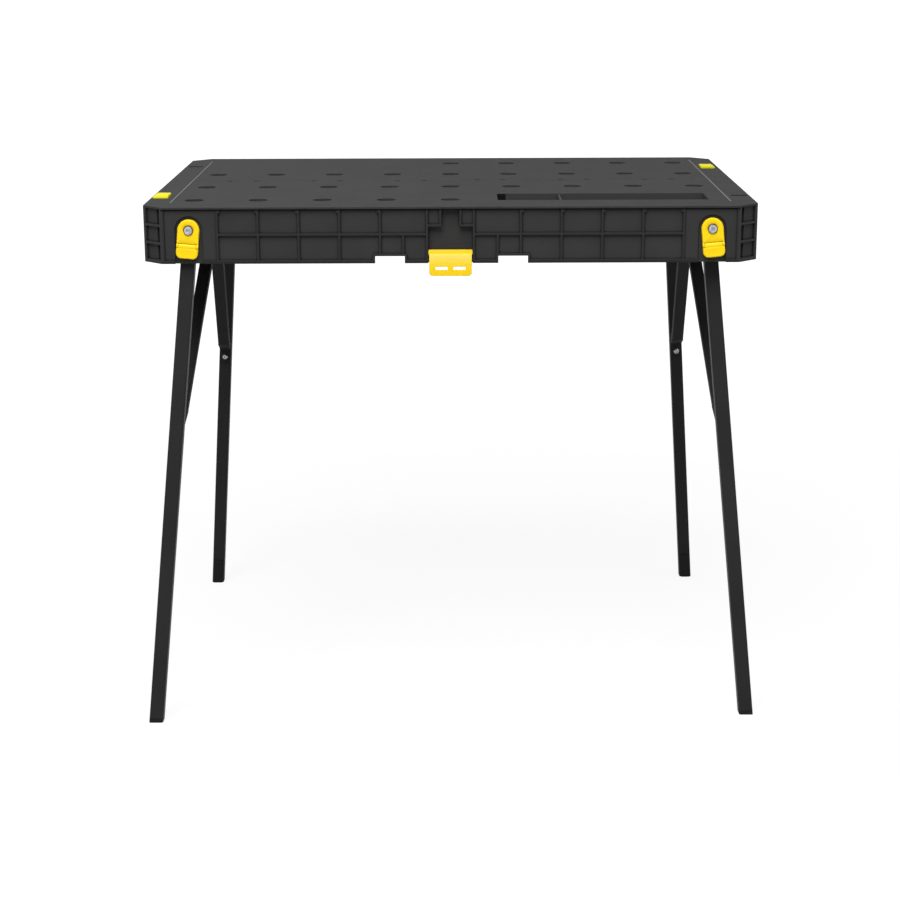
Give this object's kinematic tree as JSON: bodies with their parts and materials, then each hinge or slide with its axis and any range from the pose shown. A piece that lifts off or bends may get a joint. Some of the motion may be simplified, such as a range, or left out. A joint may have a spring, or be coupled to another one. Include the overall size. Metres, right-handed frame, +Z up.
{
  "type": "folding workbench",
  "caption": "Folding workbench: moulded deck halves with clamp holes and a small-parts tray, on splayed, braced, fold-in steel legs with pull locks and a closing latch.",
  "frame": {"origin": "centre of the bounding box at floor level, under the middle of the seam between the two deck halves", "axes": "+X along the long side, to the right seen from the front; +Y from front to rear; +Z up"},
  "size_m": [0.8752, 0.6824, 0.7425],
  "materials": {
    "deck_plastic": "fine moulded grain",
    "rim_plastic": "fine moulded grain",
    "leg_tube": "satin powder coat",
    "brace_tube": "satin powder coat",
    "black_plastic": "moulded",
    "yellow_plastic": "satin moulded",
    "bolt_steel": "zinc plated",
    "rivet_steel": "dull steel"
  },
  "bodies": {
    "front_half": {"front_top": "deck_plastic", "front_rim": "rim_plastic", "hinge_pins": "bolt_steel", "latch_pin": "bolt_steel", "front_pivot_bolts": "bolt_steel", "front_leg_spacers": "black_plastic", "front_pivot_nuts": "bolt_steel", "front_brace_pins": "bolt_steel", "front_lock_plates": "yellow_plastic", "front_lock_pins": "bolt_steel"},
    "rear_half": {"rear_top": "deck_plastic", "rear_rim": "rim_plastic", "rear_pivot_bolts": "bolt_steel", "rear_leg_spacers": "black_plastic", "rear_pivot_nuts": "bolt_steel", "rear_brace_pins": "bolt_steel", "rear_lock_plates": "yellow_plastic", "rear_lock_pins": "bolt_steel"},
    "latch": {"latch": "yellow_plastic"},
    "front_stop": {"front_stop": "yellow_plastic"},
    "rear_stop": {"rear_stop": "yellow_plastic"},
    "front_left_leg": {"front_left_leg_tube": "leg_tube", "front_left_leg_cap": "black_plastic", "front_left_foot": "black_plastic", "front_left_brace": "brace_tube", "front_left_rivet": "rivet_steel"},
    "front_left_lock_tab": {"front_left_lock_tab": "yellow_plastic"},
    "front_right_leg": {"front_right_leg_tube": "leg_tube", "front_right_leg_cap": "black_plastic", "front_right_foot": "black_plastic", "front_right_brace": "brace_tube", "front_right_rivet": "rivet_steel"},
    "front_right_lock_tab": {"front_right_lock_tab": "yellow_plastic"},
    "rear_left_leg": {"rear_left_leg_tube": "leg_tube", "rear_left_leg_cap": "black_plastic", "rear_left_foot": "black_plastic", "rear_left_brace": "brace_tube", "rear_left_rivet": "rivet_steel"},
    "rear_left_lock_tab": {"rear_left_lock_tab": "yellow_plastic"},
    "rear_right_leg": {"rear_right_leg_tube": "leg_tube", "rear_right_leg_cap": "black_plastic", "rear_right_foot": "black_plastic", "rear_right_brace": "brace_tube", "rear_right_rivet": "rivet_steel"},
    "rear_right_lock_tab": {"rear_right_lock_tab": "yellow_plastic"}
  },
  "joints": [
    {"name": "deck_fold", "type": "hinge", "parent": "front_half", "child": "rear_half", "pos_m": [0, 0, 0.661], "axis": [-1, 0, 0], "range_deg": [0, 45]},
    {"name": "latch_swing", "type": "hinge", "parent": "front_half", "child": "latch", "pos_m": [0, -0.2951, 0.6754], "axis": [-1, 0, 0], "range_deg": [0, 100]},
    {"name": "front_stop_lift", "type": "slide", "parent": "front_half", "child": "front_stop", "axis": [0, 0, 1], "range_m": [0, 0.025]},
    {"name": "rear_stop_lift", "type": "slide", "parent": "rear_half", "child": "rear_stop", "axis": [0, 0, 1], "range_m": [0, 0.025]},
    {"name": "front_left_leg_fold", "type": "hinge", "parent": "front_half", "child": "front_left_leg", "pos_m": [-0.3602, -0.272, 0.70505], "axis": [0, -0.9965, 0.0837], "range_deg": [0, 95.43]},
    {"name": "front_left_lock_tab_pull", "type": "hinge", "parent": "front_half", "child": "front_left_lock_tab", "pos_m": [-0.36228, -0.2978, 0.6854], "axis": [-0.9955, 0, 0.0947], "range_deg": [0, 10], "stiffness_Nm_per_rad": 0.15, "springref_deg": -8.59},
    {"name": "front_right_leg_fold", "type": "hinge", "parent": "front_half", "child": "front_right_leg", "pos_m": [0.3602, -0.248, 0.70303], "axis": [0, 0.9965, -0.0837], "range_deg": [0, 92.85]},
    {"name": "front_right_lock_tab_pull", "type": "hinge", "parent": "front_half", "child": "front_right_lock_tab", "pos_m": [0.36229, -0.2978, 0.6854], "axis": [-0.9955, 0, -0.095], "range_deg": [0, 10], "stiffness_Nm_per_rad": 0.15, "springref_deg": -8.59},
    {"name": "rear_left_leg_fold", "type": "hinge", "parent": "rear_half", "child": "rear_left_leg", "pos_m": [-0.3602, 0.248, 0.70303], "axis": [0, -0.9965, -0.0837], "range_deg": [0, 91.52]},
    {"name": "rear_left_lock_tab_pull", "type": "hinge", "parent": "rear_half", "child": "rear_left_lock_tab", "pos_m": [-0.36178, 0.2978, 0.68536], "axis": [0.9974, 0, -0.0718], "range_deg": [0, 10], "stiffness_Nm_per_rad": 0.15, "springref_deg": -8.59},
    {"name": "rear_right_leg_fold", "type": "hinge", "parent": "rear_half", "child": "rear_right_leg", "pos_m": [0.3602, 0.272, 0.70505], "axis": [0, 0.9965, 0.0837], "range_deg": [0, 94.11]},
    {"name": "rear_right_lock_tab_pull", "type": "hinge", "parent": "rear_half", "child": "rear_right_lock_tab", "pos_m": [0.36178, 0.2978, 0.68536], "axis": [0.9974, 0, 0.0716], "range_deg": [0, 10], "stiffness_Nm_per_rad": 0.15, "springref_deg": -8.59}
  ]
}
